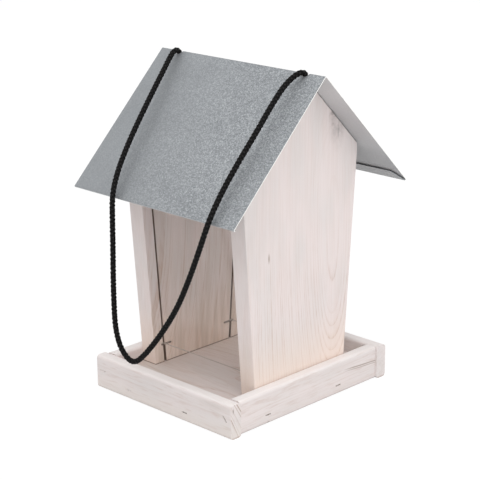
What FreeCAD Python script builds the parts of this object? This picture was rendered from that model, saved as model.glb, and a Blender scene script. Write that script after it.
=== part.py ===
"""Hanging bird table: a timber tray, two side panels, two clear panes and a folded zinc roof.

Millimetres. X runs along the ridge, Y from the front (-) to the back (+) and Z up. The origin is
the centre of the tray's underside.
"""
import FreeCAD, Part
import math
import os

import Sketcher

V = FreeCAD.Vector
doc = FreeCAD.newDocument("bird_table")
sheet = doc.addObject("Spreadsheet::Sheet", "sizes")

# Sizes that are set by themselves: alias, millimetres or degrees, meaning.
SIZES = [
    ("tray_length", 150.0, "front and back rails, end to end"),
    ("tray_depth", 176.6, "front face to back face of the tray"),
    ("rail_height", 27.2, "height of the four tray rails"),
    ("rail_thickness", 10.5, "thickness of the four tray rails"),
    ("rail_round", 2.6, "radius of the rails' long edges"),
    ("side_rail_inset", 1.4, "side rails' outer faces, inside the front rail's ends"),
    ("floor_thickness", 15.0, "floor board"),
    ("panel_thickness", 15.0, "side panels"),
    ("panel_foot_depth", 99.8, "side panel's depth on the floor"),
    ("panel_shoulder_depth", 126.6, "side panel's depth where its taper ends"),
    ("panel_taper_height", 173.2, "length of the tapered edges, measured upright"),
    ("panel_land_height", 8.0, "upright edge between taper and gable"),
    ("panel_round", 0.6, "radius of the panels' sawn edges"),
    ("gable_tip_width", 3.0, "flat planed on the gable's tip"),
    ("roof_pitch", 45.0, "degrees, of gable and roof"),
    ("groove_width", 2.5, "saw-cut grooves that hold the panes"),
    ("groove_depth", 4.5, "saw-cut grooves"),
    ("front_groove_inset", 9.4, "front groove, in from the panel's front edge"),
    ("back_groove_inset", 14.0, "back groove, in from the panel's back edge"),
    ("pane_thickness", 2.0, "clear plastic panes"),
    ("pane_height", 168.0, "clear plastic panes"),
    ("pane_side_play", 0.5, "pane's edge to the groove's bottom"),
    ("pane_seat_gap", 0.2, "pane's lower edge over its staples"),
    ("seed_gap", 15.5, "floor to the middle of the pane staples' crowns"),
    ("roof_width", 172.7, "zinc sheet, along the ridge"),
    ("roof_reach", 95.2, "ridge to the outside of an eave, measured level"),
    ("sheet_thickness", 0.6, "zinc sheet"),
    ("roof_seat_gap", 0.3, "gable edge to the sheet's underside"),
    ("ridge_radius", 1.0, "inner radius of the ridge bend"),
    ("hem_width", 10.0, "flap folded under along each eave"),
    ("hem_gap", 0.6, "between the flap and the slope"),
    ("hem_mitre", 9.0, "how far the flap's ends are cut back"),
    ("ridge_hole", 8.0, "holes punched on the ridge line"),
    ("cord_diameter", 4.0, "braided cord"),
    ("cord_side_gap", 1.7, "side panel's face to the cord beside it"),
    ("cord_bore", 6.0, "bore for the cord near each gable's tip"),
    ("bore_drop", 18.1, "gable's tip to the middle of the bore"),
    ("knot_diameter", 10.4, "stopper knot, at its widest"),
    ("knot_rim", 7.2, "stopper knot's ends, one of which bears on the panel"),
    ("knot_seat", 3.8, "panel's face to the knot's widest place"),
    ("knot_length", 8.6, "stopper knot"),
    ("cord_tail", 12.0, "cord left past the panel, through the knot"),
    ("wire_width", 1.2, "staple wire, broad side"),
    ("wire_thickness", 0.9, "staple wire, narrow side"),
    ("narrow_crown", 5.8, "rail staples, across"),
    ("narrow_leg", 22.0, "rail staples' legs"),
    ("staple_sink", 0.3, "rail staples' crowns, below the rail's face"),
    ("wide_crown", 10.8, "pane staples, across"),
    ("wide_leg", 11.0, "pane staples' legs"),
    ("front_staple_left", 37.5, "front and back rails' left staple, from the middle"),
    ("front_staple_right", 25.0, "front and back rails' right staple, from the middle"),
    ("side_staple_front", 47.3, "side rails' front staple, from the middle"),
    ("side_staple_back", 32.5, "side rails' back staple, from the middle"),
    ("corner_staple_height", 15.2, "middle of the staples into the side rails' ends"),
    ("corner_staple_tilt", 50.0, "degrees, slant of one corner staple"),
    ("pane_staple_shift", 2.4, "pane staples' middle, from the groove towards the seed"),
    ("screw_head", 7.0, "countersunk head's diameter"),
    ("screw_head_height", 2.4, "countersunk head"),
    ("screw_shank", 3.4, "screw's diameter"),
    ("screw_length", 38.0, "head's face to point"),
    ("screw_point", 4.0, "tapered point"),
    ("screw_tip", 0.6, "tapered point's own diameter"),
    ("screw_spacing", 44.0, "the two screws under each side panel"),
    ("overrun", 1.0, "how far a cutter passes the face that it opens"),
]

# Sizes that follow from them.
DERIVED = [
    ("half_length", "=tray_length / 2"),
    ("half_depth", "=tray_depth / 2"),
    ("panel_outer", "=half_length - side_rail_inset - rail_thickness"),
    ("panel_inner", "=panel_outer - panel_thickness"),
    ("floor_width", "=2 * panel_outer"),
    ("floor_depth", "=tray_depth - 2 * rail_thickness"),
    ("side_rail_middle", "=panel_outer + rail_thickness / 2"),
    ("foot_half", "=panel_foot_depth / 2"),
    ("shoulder_half", "=panel_shoulder_depth / 2"),
    ("shoulder_height", "=floor_thickness + panel_taper_height"),
    ("land_height", "=shoulder_height + panel_land_height"),
    ("pitch_rise", "=tan(roof_pitch * 1 deg)"),
    ("gable_height", "=land_height + shoulder_half * pitch_rise"),
    ("tip_height", "=gable_height - gable_tip_width / 2 * pitch_rise"),
    ("lean_rise", "=(shoulder_half - foot_half) / panel_taper_height"),
    ("lean_cosine", "=1 / sqrt(1 + lean_rise ^ 2)"),
    ("groove_half", "=groove_width / 2 / lean_cosine"),
    ("front_groove", "=foot_half - front_groove_inset / lean_cosine - groove_half"),
    ("back_groove", "=foot_half - back_groove_inset / lean_cosine - groove_half"),
    ("pane_width", "=2 * (panel_inner + groove_depth - pane_side_play)"),
    ("crown_height", "=floor_thickness + seed_gap"),
    ("pane_foot", "=crown_height + wire_width / 2 + pane_seat_gap"),
    ("half_width", "=roof_width / 2"),
    ("bore_height", "=gable_height - bore_drop"),
    ("hole_place", "=panel_outer + cord_side_gap + cord_diameter / 2"),
    ("cord_radius", "=cord_diameter / 2"),
]

for row, entry in enumerate(SIZES + DERIVED, start=1):
    sheet.set(f"A{row}", entry[0])
    sheet.set(f"B{row}", str(entry[1]))
    sheet.setAlias(f"B{row}", entry[0])
    if len(entry) > 2:
        sheet.set(f"C{row}", entry[2])
doc.recompute()


def size(alias):
    """One value of the sheet, as a plain number."""
    return float(sheet.get(alias))


ALIASES = {entry[0] for entry in SIZES + DERIVED}


def bound(text):
    """A formula in the sheet's terms. Each alias in it stands between spaces."""
    return " ".join(f"sizes.{part}" if part in ALIASES else part for part in text.split())


def link(thing, prop, text):
    thing.setExpression(prop, bound(text))


def add(kind, name, **settings):
    """A document object with a Label, sizes bound to the sheet and plain settings."""
    thing = doc.addObject(kind, name)
    thing.Label = name
    for prop, value in settings.items():
        if isinstance(value, str) and any(part in ALIASES for part in value.split()):
            link(thing, prop, value)
        else:
            setattr(thing, prop, value)
    return thing


def draw_outline(sketch, corners):
    """Closed outline of straight lines: each corner's two coordinates are bound to the sheet."""
    first = sketch.GeometryCount
    corners = [(bound(across), bound(up)) for across, up in corners]
    points = [V(float(sketch.evalExpression(across)), float(sketch.evalExpression(up)), 0)
              for across, up in corners]
    for start, end in zip(points, points[1:] + points[:1]):
        sketch.addGeometry(Part.LineSegment(start, end))
    for number in range(len(points)):
        following = first + (number + 1) % len(points)
        sketch.addConstraint(Sketcher.Constraint("Coincident", first + number, 2, following, 1))
    for number, (point, (across, up)) in enumerate(zip(points, corners), start=first):
        for kind, now, text in (("DistanceX", point.x, across), ("DistanceY", point.y, up)):
            place = sketch.addConstraint(Sketcher.Constraint(kind, -1, 1, number, 1, now))
            sketch.setExpression(f"Constraints[{place}]", text)


def mirrored(corners):
    """The same outline on the other side of the sketch's upright axis."""
    return [(f"-1 * ( {across} )", up) for across, up in corners]


def new_body(name):
    body = doc.addObject("PartDesign::Body", name)
    body.Label = name
    return body


def body_sketch(body, name, role, offset=None):
    """Sketch on one of the body's own origin planes, moved along its normal."""
    sketch = body.newObject("Sketcher::SketchObject", name)
    plane = next(item for item in body.Origin.OriginFeatures if item.Role == role)
    sketch.AttachmentSupport = [(plane, "")]
    sketch.MapMode = "FlatFace"
    if offset:
        link(sketch, "AttachmentOffset.Base.z", offset)
    return sketch


def pad(body, sketch, length, both_ways=False):
    feature = body.newObject("PartDesign::Pad", f"{sketch.Name}_pad")
    feature.Profile = sketch
    link(feature, "Length", length)
    if both_ways:
        feature.SideType = "Symmetric"
    return feature


def pocket(body, sketch, depth, along_normal):
    feature = body.newObject("PartDesign::Pocket", f"{sketch.Name}_pocket")
    feature.Profile = sketch
    feature.Reversed = along_normal
    link(feature, "Length", depth)
    return feature


def apart(first, second):
    """Whether two coordinates differ by more than rounding."""
    return abs(first - second) > 0.001


def round_edges(body, feature, radius, wanted):
    """Fillet on the edges of the feature whose two ends satisfy the test."""
    doc.recompute()
    names = [f"Edge{number}" for number, edge in enumerate(feature.Shape.Edges, start=1)
             if wanted(edge.Vertexes[0].Point, edge.Vertexes[-1].Point)]
    fillet = body.newObject("PartDesign::Fillet", f"{feature.Name}_round")
    fillet.Base = (feature, names)
    link(fillet, "Radius", radius)
    return fillet


def cut_by(name, base, cutters):
    """The base with the cutters taken away, under the sub-part's own name."""
    tool = add("Part::Compound", f"{name}_cutters", Links=cutters)
    return add("Part::Cut", name, Base=base, Tool=tool)


def turned(degrees, axis=V(0, 0, 1)):
    return FreeCAD.Rotation(axis, degrees)


# Fasteners

def staple(name, crown, leg, depth, slot, place):
    """U of flat wire and the cutter for its seat.

    Its crown runs along the local X axis and its legs along local Y, into the timber. depth is
    how far the crown's outer face lies below the timber's face, and slot is how far the seat
    reaches out past the crown.
    """
    shapes = []
    for suffix, out in (("", "0"), ("_seat", slot)):
        outer = add("Part::Box", f"{name}{suffix}_outer", Length=crown, Width=f"{leg} + {out}",
                    Height="wire_width")
        inner = add("Part::Box", f"{name}{suffix}_inner", Length=f"{crown} - 2 * wire_thickness",
                    Width=leg, Height="wire_width + 2 * overrun")
        doc.recompute()
        out_length = outer.Width.Value - size(leg)
        outer.Placement = place.multiply(FreeCAD.Placement(
            V(-size(crown) / 2, depth - out_length, -size("wire_width") / 2), turned(0)))
        inner.Placement = place.multiply(FreeCAD.Placement(
            V(size("wire_thickness") - size(crown) / 2, depth + size("wire_thickness"),
              -size("wire_width") / 2 - size("overrun")), turned(0)))
        shapes.append(add("Part::Cut", f"{name}{suffix}", Base=outer, Tool=inner))
    return shapes


def rail_staple(name, place):
    return staple(name, "narrow_crown", "narrow_leg", size("staple_sink"), "staple_sink + overrun",
                  place)


def pane_staple(name, place):
    return staple(name, "wide_crown", "wide_leg", -size("wire_thickness"), "0", place)


def staple_group(name, pairs):
    """One node for like staples, and the cutters for their seats."""
    add("Part::Compound", name, Links=[pair[0] for pair in pairs])
    return [pair[1] for pair in pairs]


SIDES = (("left", -1), ("right", 1))
ENDS = (("front", -1), ("back", 1))
staple_level = size("floor_thickness") / 2
end_cutters = {}
side_cutters = {}
corner_pairs = []
corner_cutters = {}
for end, way in ENDS:
    face = way * size("half_depth")
    inward = turned(0 if way < 0 else 180)
    places = (-size("front_staple_left"), size("front_staple_right"))
    pairs = [rail_staple(f"{end}_staple_{number}",
                         FreeCAD.Placement(V(across, face, staple_level), inward))
             for number, across in enumerate(places, start=1)]
    end_cutters[end] = staple_group(f"{end}_rail_staples", pairs)
    for side, hand in SIDES:
        slant = size("corner_staple_tilt") if (end, side) == ("front", "right") else 0
        place = FreeCAD.Placement(
            V(hand * size("side_rail_middle"), face, size("corner_staple_height")),
            inward.multiply(turned(slant, V(0, 1, 0))))
        pair = rail_staple(f"{end}_{side}_corner_staple", place)
        corner_pairs.append(pair)
        corner_cutters[end, side] = pair[1]
staple_group("corner_staples", corner_pairs)
for side, hand in SIDES:
    face = hand * (size("panel_outer") + size("rail_thickness"))
    places = (-size("side_staple_front"), size("side_staple_back"))
    pairs = [rail_staple(f"{side}_staple_{number}",
                         FreeCAD.Placement(V(face, along, staple_level), turned(hand * 90)))
             for number, along in enumerate(places, start=1)]
    side_cutters[side] = staple_group(f"{side}_rail_staples", pairs)

pane_cutters = {side: [] for side, hand in SIDES}
for end, way in ENDS:
    groove = size(f"{end}_groove") + size("lean_rise") * size("seed_gap")
    middle = way * (groove - size("pane_staple_shift"))
    pairs = [pane_staple(f"{end}_{side}_pane_staple",
                         FreeCAD.Placement(V(hand * size("panel_inner"), middle, size("crown_height")),
                                           turned(-hand * 90)))
             for side, hand in SIDES]
    for (side, hand), pair in zip(SIDES, pairs):
        pane_cutters[side].append(pair[1])
    add("Part::Compound", f"{end}_pane_staples", Links=[pair[0] for pair in pairs])

screws = {}
for side, hand in SIDES:
    group = []
    for end, way in ENDS:
        foot = V(hand * (size("panel_outer") - size("panel_thickness") / 2),
                 way * size("screw_spacing") / 2, 0)
        name = f"{side}_{end}_screw"
        head = add("Part::Cone", f"{name}_head", Radius1="screw_head / 2", Radius2="screw_shank / 2",
                   Height="screw_head_height")
        shank = add("Part::Cylinder", f"{name}_shank", Radius="screw_shank / 2",
                    Height="screw_length - screw_head_height - screw_point")
        point = add("Part::Cone", f"{name}_point", Radius1="screw_shank / 2", Radius2="screw_tip / 2",
                    Height="screw_point")
        head.Placement = FreeCAD.Placement(foot, turned(0))
        shank.Placement = FreeCAD.Placement(foot + V(0, 0, size("screw_head_height")), turned(0))
        point.Placement = FreeCAD.Placement(
            foot + V(0, 0, size("screw_length") - size("screw_point")), turned(0))
        group.append(add("Part::MultiFuse", name, Shapes=[head, shank, point]))
    screws[side] = group
    add("Part::Compound", f"{side}_panel_screws", Links=group)

# Floor board: the panels stand on it and the rails are stapled round it.
floor = add("Part::Box", "floor_blank", Length="floor_width", Width="floor_depth",
            Height="floor_thickness")
floor.Placement = FreeCAD.Placement(V(-size("panel_outer"), -size("floor_depth") / 2, 0), turned(0))
cut_by("floor_board", floor, end_cutters["front"] + end_cutters["back"] + side_cutters["left"]
       + side_cutters["right"] + screws["left"] + screws["right"])

# Rails: the front and back ones run past the side ones, whose ends butt against them.
for end, way in ENDS:
    body = new_body(f"{end}_rail_blank")
    section = body_sketch(body, f"{end}_rail_section", "YZ_Plane")
    corners = [("half_depth - rail_thickness", "0"), ("half_depth", "0"),
               ("half_depth", "rail_height"), ("half_depth - rail_thickness", "rail_height")]
    draw_outline(section, corners if way > 0 else mirrored(corners))
    rail = pad(body, section, "tray_length", both_ways=True)
    round_edges(body, rail, "rail_round", lambda a, b: apart(a.x, b.x))
    cut_by(f"{end}_rail", body,
           end_cutters[end] + [corner_cutters[end, side] for side, hand in SIDES])

for side, hand in SIDES:
    body = new_body(f"{side}_rail_blank")
    section = body_sketch(body, f"{side}_rail_section", "XZ_Plane")
    corners = [("panel_outer", "0"), ("panel_outer + rail_thickness", "0"),
               ("panel_outer + rail_thickness", "rail_height"), ("panel_outer", "rail_height")]
    draw_outline(section, corners if hand > 0 else mirrored(corners))
    rail = pad(body, section, "floor_depth", both_ways=True)
    round_edges(body, rail, "rail_round", lambda a, b: apart(a.y, b.y))
    cut_by(f"{side}_rail", body,
           side_cutters[side] + [corner_cutters[end, side] for end, way in ENDS])

# Side panels: tapered edges, a 90 degree gable, two saw-cut grooves and the cord's bore.
GABLE_HALF = [
    ("foot_half", "floor_thickness"),
    ("shoulder_half", "shoulder_height"),
    ("shoulder_half", "land_height"),
    ("gable_tip_width / 2", "tip_height"),
]
for side, hand in SIDES:
    body = new_body(f"{side}_panel_blank")
    outline = body_sketch(body, f"{side}_panel_outline", "YZ_Plane",
                          "panel_inner" if hand > 0 else "-1 * panel_outer")
    draw_outline(outline, GABLE_HALF + mirrored(GABLE_HALF)[::-1])
    board = pad(body, outline, "panel_thickness")
    foot = size("floor_thickness")
    round_edges(body, board, "panel_round",
                lambda a, b: not apart(a.x, b.x) and apart(max(a.z, b.z), foot))
    inner_face = "panel_inner" if hand > 0 else "-1 * panel_inner"
    for end, way in ENDS:
        groove = body_sketch(body, f"{side}_{end}_groove", "YZ_Plane", inner_face)
        low = f"{end}_groove - lean_rise * overrun"
        high = f"{end}_groove + lean_rise * ( gable_height - floor_thickness )"
        corners = [(f"{low} - groove_half", "floor_thickness - overrun"),
                   (f"{low} + groove_half", "floor_thickness - overrun"),
                   (f"{high} + groove_half", "gable_height"),
                   (f"{high} - groove_half", "gable_height")]
        draw_outline(groove, corners if way > 0 else mirrored(corners))
        pocket(body, groove, "groove_depth", along_normal=hand > 0)
    bore = add("Part::Cylinder", f"{side}_bore_cutter", Radius="cord_bore / 2",
               Height="panel_thickness + 2 * overrun")
    bore.Placement = FreeCAD.Placement(
        V(hand * (size("panel_inner") - size("overrun")), 0, size("bore_height")),
        turned(hand * 90, V(0, 1, 0)))
    cut_by(f"{side}_side_panel", body, screws[side] + pane_cutters[side] + [bore])

# Panes: they slide in the grooves and stand on the staples, which leave the gap for the seed.
lean = math.degrees(math.atan(size("lean_rise")))
for end, way in ENDS:
    pane = add("Part::Box", f"{end}_pane", Length="pane_width", Width="pane_thickness",
               Height="pane_height")
    tilt = turned(-way * lean, V(1, 0, 0))
    foot = V(0, way * (size(f"{end}_groove")
                       + size("lean_rise") * (size("pane_foot") - size("floor_thickness"))),
             size("pane_foot"))
    corner = tilt.multVec(V(-size("pane_width") / 2, -size("pane_thickness") / 2, 0))
    pane.Placement = FreeCAD.Placement(foot + corner, tilt)

# Roof: one sheet bent at the ridge, with a flap folded under along each eave.
fold = doc.addObject("Sketcher::SketchObject", "roof_fold_line")
fold.Placement = FreeCAD.Placement(V(0, 0, 0), FreeCAD.Rotation(V(0, 1, 0), V(0, 0, 1), V(1, 0, 0)))
pitch = math.radians(size("roof_pitch"))
bend = size("ridge_radius")
turn = size("hem_gap") / 2
eave_middle = size("roof_reach") - turn - size("sheet_thickness")
bend_height = size("gable_height") + (size("roof_seat_gap") - bend) / math.cos(pitch)
eave_height = (size("gable_height") + (size("roof_seat_gap") - turn) / math.cos(pitch)
               - eave_middle * math.tan(pitch))
uphill = V(math.cos(pitch), math.sin(pitch), 0)
outward = V(-math.sin(pitch), math.cos(pitch), 0)
front_eave = V(-eave_middle, eave_height, 0)
flap_end = front_eave - outward * turn + uphill * size("hem_width")


def flip(point):
    return V(-point.x, point.y, point.z)


def arc(middle, radius, start, end):
    return Part.ArcOfCircle(Part.Circle(middle, V(0, 0, 1), radius), start, end)


front_top = V(0, bend_height, 0) + outward * bend
fold.addGeometry(Part.LineSegment(flap_end, front_eave - outward * turn))
fold.addGeometry(arc(front_eave, turn, math.pi / 2 + pitch, math.pi * 1.5 + pitch))
fold.addGeometry(Part.LineSegment(front_eave + outward * turn, front_top))
fold.addGeometry(arc(V(0, bend_height, 0), bend, math.pi / 2 - pitch, math.pi / 2 + pitch))
fold.addGeometry(Part.LineSegment(flip(front_top), flip(front_eave + outward * turn)))
fold.addGeometry(arc(flip(front_eave), turn, -math.pi / 2 - pitch, math.pi / 2 - pitch))
fold.addGeometry(Part.LineSegment(flip(front_eave - outward * turn), flip(flap_end)))
front_flap, front_fold, front_slope, ridge_bend, back_slope, back_fold, back_flap = range(7)
for one, one_end, other, other_end in (
        (front_flap, 2, front_fold, 2), (front_fold, 1, front_slope, 1),
        (front_slope, 2, ridge_bend, 2), (ridge_bend, 1, back_slope, 1),
        (back_slope, 2, back_fold, 2), (back_fold, 1, back_flap, 1)):
    fold.addConstraint(Sketcher.Constraint("Tangent", one, one_end, other, other_end))
fold.addConstraint(Sketcher.Constraint("PointOnObject", ridge_bend, 3, -2))
fold.addConstraint(Sketcher.Constraint("Symmetric", front_fold, 3, back_fold, 3, -2))
fold.addConstraint(Sketcher.Constraint("Parallel", front_flap, front_slope))
fold.addConstraint(Sketcher.Constraint("Parallel", back_flap, back_slope))
fold.addConstraint(Sketcher.Constraint("Equal", front_flap, back_flap))
fold.addConstraint(Sketcher.Constraint("Equal", front_fold, back_fold))
for constraint, text in (
        (Sketcher.Constraint("Radius", ridge_bend, bend), "ridge_radius"),
        (Sketcher.Constraint("Radius", front_fold, turn), "hem_gap / 2"),
        (Sketcher.Constraint("Distance", front_flap, size("hem_width")), "hem_width"),
        (Sketcher.Constraint("DistanceX", back_fold, 3, -1, 1, -eave_middle),
         "-1 * ( roof_reach - hem_gap / 2 - sheet_thickness )"),
        (Sketcher.Constraint("DistanceY", -1, 1, ridge_bend, 3, bend_height),
         "gable_height + ( roof_seat_gap - ridge_radius ) / cos( roof_pitch * 1 deg )"),
        (Sketcher.Constraint("Angle", -1, 1, front_slope, 1, pitch), "roof_pitch * 1 deg")):
    place = fold.addConstraint(constraint)
    link(fold, f"Constraints[{place}]", text)
section = add("Part::Offset2D", "roof_section", Source=fold, Mode="Skin", Join="Arc", Fill=True,
              Value="-1 * sheet_thickness")
folded = add("Part::Extrusion", "roof_folded", Base=section, DirMode="Custom", Dir=V(1, 0, 0),
             Symmetric=True, Solid=True, LengthFwd="roof_width")

roof_cutters = []
for side, hand in SIDES:
    rim = add("Part::Ellipse", f"{side}_ridge_hole", MajorRadius="ridge_hole / 2",
              MinorRadius="ridge_hole / 2 * cos( roof_pitch * 1 deg )")
    rim.Placement = FreeCAD.Placement(
        V(hand * size("hole_place"), 0, size("bore_height")), turned(0))
    roof_cutters.append(add("Part::Extrusion", f"{side}_ridge_punch", Base=rim, DirMode="Custom",
                            Dir=V(0, 0, 1), Solid=True, LengthFwd="2 * bore_drop"))
MITRE = [("half_width", "0"), ("half_width + overrun", "0"),
         ("half_width + overrun", "-1 * ( hem_width + overrun )"),
         ("half_width - hem_mitre", "-1 * ( hem_width + overrun )"),
         ("half_width - hem_mitre", "-1 * hem_width")]
for end, way in ENDS:
    corner = doc.addObject("Sketcher::SketchObject", f"{end}_mitre")
    draw_outline(corner, MITRE)
    draw_outline(corner, mirrored(MITRE))
    downhill = V(0, way * math.cos(pitch), -math.sin(pitch))
    across = V(-way, 0, 0)
    corner.Placement = FreeCAD.Placement(
        V(0, way * eave_middle, eave_height),
        FreeCAD.Rotation(across, downhill, across.cross(downhill)))
    roof_cutters.append(add("Part::Extrusion", f"{end}_mitre_cutter", Base=corner,
                            DirMode="Normal", Solid=True,
                            LengthFwd="hem_gap / 2 + sheet_thickness + overrun"))
cut_by("roof_sheet", folded, roof_cutters)

# Cord: out of one ridge hole, down the front in a loop and back into the other hole.
LOOP_POINTS = [
    (-66.8, 0, 254.6), (-66.8, 0, 258.8), (-66.6, -2.9, 261.7), (-66.2, -7.1, 261.5),
    (-65.7, -11.5, 257.2), (-64, -20, 248), (-61.5, -32.5, 235.5), (-57.5, -50.5, 217.5),
    (-53, -68.5, 199.5), (-46.5, -85.5, 182.5), (-38.5, -98.5, 168), (-35, -102, 150),
    (-33, -104, 129.5), (-32, -105.5, 108), (-31, -106.5, 86), (-29, -107.5, 65.5),
    (-21.5, -108.5, 50.5), (-8, -109, 43.5), (5.5, -109, 54.5), (25, -108.5, 77.5),
    (41, -108, 100.5), (52, -106.5, 124), (60.5, -104, 147.5), (64.5, -98, 169),
    (62, -83, 185.5), (61, -65.5, 203.5), (60.8, -46.5, 222.5), (60.4, -30, 239.5),
    (60.8, -18.5, 251), (62.6, -12, 257), (65.4, -7.1, 261.5), (66.7, -2.9, 261.7),
    (66.8, 0, 258.8), (66.8, 0, 254.6),
]
ARC_SHARE = 0.45


def cord_path(points):
    """Straight runs joined by tangent arcs, each as large as its two runs allow."""
    edges = []
    radii = []
    here = points[0]
    for before, corner, after in zip(points, points[1:], points[2:]):
        back = before - corner
        ahead = after - corner
        run = min(back.Length, ahead.Length)
        half_turn = (math.pi - back.getAngle(ahead)) / 2
        back.normalize()
        ahead.normalize()
        radius = ARC_SHARE * run / math.tan(half_turn)
        start = corner + back * (ARC_SHARE * run)
        end = corner + ahead * (ARC_SHARE * run)
        inwards = back + ahead
        inwards.normalize()
        middle = corner + inwards * (radius / math.cos(half_turn) - radius)
        edges.append(Part.LineSegment(here, start).toShape())
        edges.append(Part.Arc(start, middle, end).toShape())
        radii.append(radius)
        here = end
    edges.append(Part.LineSegment(here, points[-1]).toShape())
    return Part.Wire(edges), radii


def cord_tube(name, points):
    """Round cord along the points. Prints its length, its tightest arcs and its volume's check."""
    path, radii = cord_path(points)
    ring = Part.Circle(points[0], points[1] - points[0], size("cord_radius"))
    tube = path.makePipeShell([Part.Wire([ring.toShape()])], True, False)
    thing = doc.addObject("Part::Feature", name)
    thing.Label = name
    thing.Shape = tube
    share = tube.Volume / (path.Length * math.pi * size("cord_radius") ** 2)
    tightest = ", ".join(f"{radius:.1f}" for radius in sorted(radii)[:6])
    print(f"{name}: length {path.Length:.1f}, tightest radii {tightest}, volume share {share:.4f}")


loop = [V(*point) for point in LOOP_POINTS]
cord_tube("cord_loop", loop)
for (side, hand), top in zip(SIDES, (loop[0], loop[-1])):
    level = size("bore_height")
    cord_tube(f"{side}_cord_end",
              [top, V(top.x, 0, level), V(hand * size("panel_inner"), 0, level)])
    inwards = turned(-hand * 90, V(0, 1, 0))
    face = V(hand * size("panel_inner"), 0, level)
    seat = add("Part::Cone", f"{side}_knot_seat", Radius1="knot_rim / 2",
               Radius2="knot_diameter / 2", Height="knot_seat")
    seat.Placement = FreeCAD.Placement(face, inwards)
    crown = add("Part::Cone", f"{side}_knot_crown", Radius1="knot_diameter / 2",
                Radius2="knot_rim / 2", Height="knot_length - knot_seat")
    crown.Placement = FreeCAD.Placement(face - V(hand * size("knot_seat"), 0, 0), inwards)
    tail = add("Part::Cylinder", f"{side}_knot_tail", Radius="cord_radius", Height="cord_tail")
    tail.Placement = FreeCAD.Placement(face, inwards)
    add("Part::MultiFuse", f"{side}_knot", Shapes=[seat, crown, tail])

doc.recompute()

# Each sub-part's name is its node's and its file's name.
NODES = (
    ["floor_board", "roof_sheet", "corner_staples", "cord_loop"]
    + [f"{end}_{piece}" for end, way in ENDS
       for piece in ("rail", "rail_staples", "pane", "pane_staples")]
    + [f"{side}_{piece}" for side, hand in SIDES
       for piece in ("rail", "rail_staples", "side_panel", "panel_screws", "cord_end", "knot")]
)
for thing in doc.Objects:
    if {"Invalid", "Error"} & set(thing.State):
        raise RuntimeError(f"{thing.Label} failed: {thing.State}")
os.makedirs("parts", exist_ok=True)
for node in NODES:
    shape = doc.getObjectsByLabel(node)[0].Shape
    if shape.isNull() or not shape.isValid() or not shape.Solids:
        raise RuntimeError(f"{node} has no valid solid")
    shape.exportStep(f"parts/{node}.step")
    box = shape.BoundBox
    print(f"{node}: {len(shape.Solids)} solids, {shape.Volume:.0f} mm3, "
          f"x {box.XMin:.1f}..{box.XMax:.1f}, y {box.YMin:.1f}..{box.YMax:.1f}, "
          f"z {box.ZMin:.1f}..{box.ZMax:.1f}")
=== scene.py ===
"""Hanging bird table: whitewashed spruce, clear panes, galvanised roof, braided black cord."""
import math

import bpy
import numpy as np
from mathutils import Matrix, Vector


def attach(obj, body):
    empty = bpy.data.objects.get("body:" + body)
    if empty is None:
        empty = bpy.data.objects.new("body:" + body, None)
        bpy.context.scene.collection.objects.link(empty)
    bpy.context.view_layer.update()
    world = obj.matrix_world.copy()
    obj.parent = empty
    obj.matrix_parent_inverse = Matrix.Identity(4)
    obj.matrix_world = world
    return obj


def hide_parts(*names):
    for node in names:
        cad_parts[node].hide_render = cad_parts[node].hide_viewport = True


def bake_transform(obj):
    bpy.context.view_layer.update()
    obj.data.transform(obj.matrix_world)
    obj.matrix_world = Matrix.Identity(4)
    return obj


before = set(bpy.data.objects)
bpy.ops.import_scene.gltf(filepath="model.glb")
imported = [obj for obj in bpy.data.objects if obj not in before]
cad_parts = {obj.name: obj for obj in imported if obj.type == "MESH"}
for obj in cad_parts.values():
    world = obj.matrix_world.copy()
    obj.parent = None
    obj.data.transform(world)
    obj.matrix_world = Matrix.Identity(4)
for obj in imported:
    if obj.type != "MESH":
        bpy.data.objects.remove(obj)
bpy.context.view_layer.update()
scene = bpy.context.scene
scene.view_settings.view_transform = "Standard"

# Camera: a long lens in front of the feeder's right corner, a little above the ridge. Its place
# and angles are in the feeder's frame, in metres and degrees.
CAMERA_PLACE = (0.8254, -0.8379, 0.4839)
CAMERA_YAW = 44.63
CAMERA_PITCH = -17.25
CAMERA_ROLL = -0.36
FOCAL_PIXELS = 1573.2
IMAGE_PIXELS = 480
SENSOR_MM = 36

lens = bpy.data.cameras.new("camera")
lens.sensor_width = SENSOR_MM
lens.lens = FOCAL_PIXELS / IMAGE_PIXELS * SENSOR_MM
lens.clip_start = 0.01
camera = bpy.data.objects.new("camera", lens)
camera.matrix_world = (
    Matrix.Translation(CAMERA_PLACE)
    @ Matrix.Rotation(math.radians(CAMERA_YAW), 4, "Z")
    @ Matrix.Rotation(math.radians(90 + CAMERA_PITCH), 4, "X")
    @ Matrix.Rotation(math.radians(CAMERA_ROLL), 4, "Z")
)
scene.collection.objects.link(camera)
scene.camera = camera

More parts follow.
